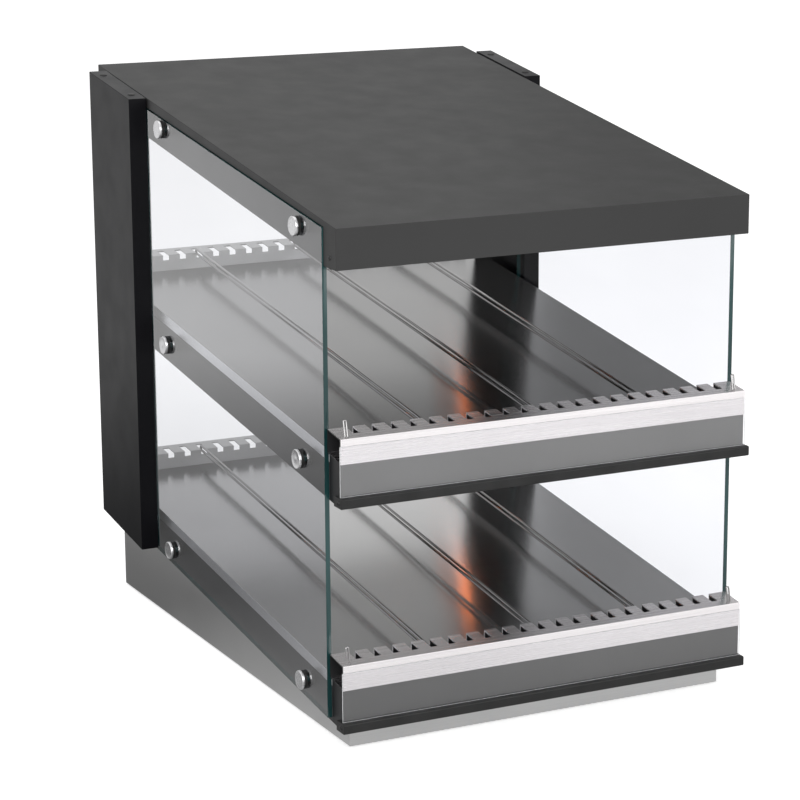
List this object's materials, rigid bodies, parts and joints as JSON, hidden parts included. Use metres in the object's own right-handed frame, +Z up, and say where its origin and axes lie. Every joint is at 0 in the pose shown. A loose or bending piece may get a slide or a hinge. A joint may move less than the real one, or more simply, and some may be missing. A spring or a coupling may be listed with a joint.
{
  "type": "heated display case",
  "caption": "Countertop heated display case with two sloping steel shelves, glass sides, a sloping canopy, slotted rails and lift-out wire dividers.",
  "frame": {"origin": "middle of the rectangle of floor that the case covers, at the height that its feet stand on", "axes": "+X to the right seen from the front, -Y towards the customer side, +Z up"},
  "size_m": [0.6132, 0.794, 0.7462],
  "materials": {
    "canopy_coat": "satin powder coat",
    "black_coat": "satin powder coat",
    "column_coat": "satin powder coat",
    "black_plastic": "fine matt",
    "reflector_steel": "bright annealed",
    "deck_steel": "fine brushed",
    "rail_steel": "fine brushed",
    "strip_grey": "satin",
    "clear_cover": "clear",
    "chrome_wire": "polished",
    "heater_silicone": "matt",
    "side_glass": "clear, polished edges",
    "fixing_steel": "turned",
    "black_rubber": "matt",
    "quartz_tube": "glowing",
    "ceramic": "unglazed ceramic",
    "base_steel": "brushed",
    "control_plastic": "fine matt",
    "rocker_plastic": "gloss",
    "lamp_lens": "clear amber"
  },
  "bodies": {
    "case": {"base_floor": "base_steel", "base_plinth": "base_steel", "cable_gland": "control_plastic", "canopy_cover": "canopy_coat", "canopy_left_side": "black_coat", "canopy_reflector": "reflector_steel", "canopy_right_side": "black_coat", "column_liners": "column_coat", "column_plugs": "black_plastic", "column_spacers": "black_plastic", "control_panel": "base_steel", "glass_caps": "fixing_steel", "glass_screws": "fixing_steel", "glass_spacers": "black_rubber", "heat_tubes": "quartz_tube", "left_column": "column_coat", "left_glass": "side_glass", "lower_bottom_trim": "black_plastic", "lower_deck": "deck_steel", "lower_end_loops": "chrome_wire", "lower_front_box": "black_coat", "lower_front_rail": "rail_steel", "lower_heat_mat": "heater_silicone", "lower_left_skirt": "black_coat", "lower_rear_rail": "deck_steel", "lower_right_skirt": "black_coat", "lower_ticket_cover": "clear_cover", "lower_ticket_strip": "strip_grey", "lower_under_tray": "reflector_steel", "pilot_lamps": "lamp_lens", "right_column": "column_coat", "right_glass": "side_glass", "rubber_feet": "black_rubber", "switch_housings": "control_plastic", "thermostats": "control_plastic", "trim_screws": "fixing_steel", "tube_guards": "chrome_wire", "tube_holders": "ceramic", "upper_bottom_trim": "black_plastic", "upper_deck": "deck_steel", "upper_end_loops": "chrome_wire", "upper_front_box": "black_coat", "upper_front_rail": "rail_steel", "upper_heat_mat": "heater_silicone", "upper_left_skirt": "black_coat", "upper_rear_rail": "deck_steel", "upper_right_skirt": "black_coat", "upper_ticket_cover": "clear_cover", "upper_ticket_strip": "strip_grey", "upper_under_tray": "reflector_steel"},
    "upper_left_divider_body": {"upper_left_divider": "chrome_wire"},
    "upper_centre_divider_body": {"upper_centre_divider": "chrome_wire"},
    "upper_right_divider_body": {"upper_right_divider": "chrome_wire"},
    "lower_left_divider_body": {"lower_left_divider": "chrome_wire"},
    "lower_centre_divider_body": {"lower_centre_divider": "chrome_wire"},
    "lower_right_divider_body": {"lower_right_divider": "chrome_wire"},
    "upper_switch": {"upper_switch_rocker": "rocker_plastic"},
    "lower_switch": {"lower_switch_rocker": "rocker_plastic"},
    "upper_thermostat": {"upper_thermostat_knob": "control_plastic"},
    "lower_thermostat": {"lower_thermostat_knob": "control_plastic"}
  },
  "joints": [
    {"name": "upper_left_divider_lift", "type": "slide", "parent": "case", "child": "upper_left_divider_body", "axis": [0, 0, 1], "range_m": [0, 0.06]},
    {"name": "upper_centre_divider_lift", "type": "slide", "parent": "case", "child": "upper_centre_divider_body", "axis": [0, 0, 1], "range_m": [0, 0.06]},
    {"name": "upper_right_divider_lift", "type": "slide", "parent": "case", "child": "upper_right_divider_body", "axis": [0, 0, 1], "range_m": [0, 0.06]},
    {"name": "lower_left_divider_lift", "type": "slide", "parent": "case", "child": "lower_left_divider_body", "axis": [0, 0, 1], "range_m": [0, 0.06]},
    {"name": "lower_centre_divider_lift", "type": "slide", "parent": "case", "child": "lower_centre_divider_body", "axis": [0, 0, 1], "range_m": [0, 0.06]},
    {"name": "lower_right_divider_lift", "type": "slide", "parent": "case", "child": "lower_right_divider_body", "axis": [0, 0, 1], "range_m": [0, 0.06]},
    {"name": "upper_switch_tilt", "type": "hinge", "parent": "case", "child": "upper_switch", "pos_m": [-0.05, 0.3705, 0.066], "axis": [1, 0, 0], "range_deg": [0, 20]},
    {"name": "lower_switch_tilt", "type": "hinge", "parent": "case", "child": "lower_switch", "pos_m": [0.05, 0.3705, 0.066], "axis": [1, 0, 0], "range_deg": [0, 20]},
    {"name": "upper_thermostat_turn", "type": "hinge", "parent": "case", "child": "upper_thermostat", "pos_m": [-0.098, 0.38, 0.066], "axis": [0, -1, 0], "range_deg": [0, 270]},
    {"name": "lower_thermostat_turn", "type": "hinge", "parent": "case", "child": "lower_thermostat", "pos_m": [0.098, 0.38, 0.066], "axis": [0, -1, 0], "range_deg": [0, 270]}
  ]
}
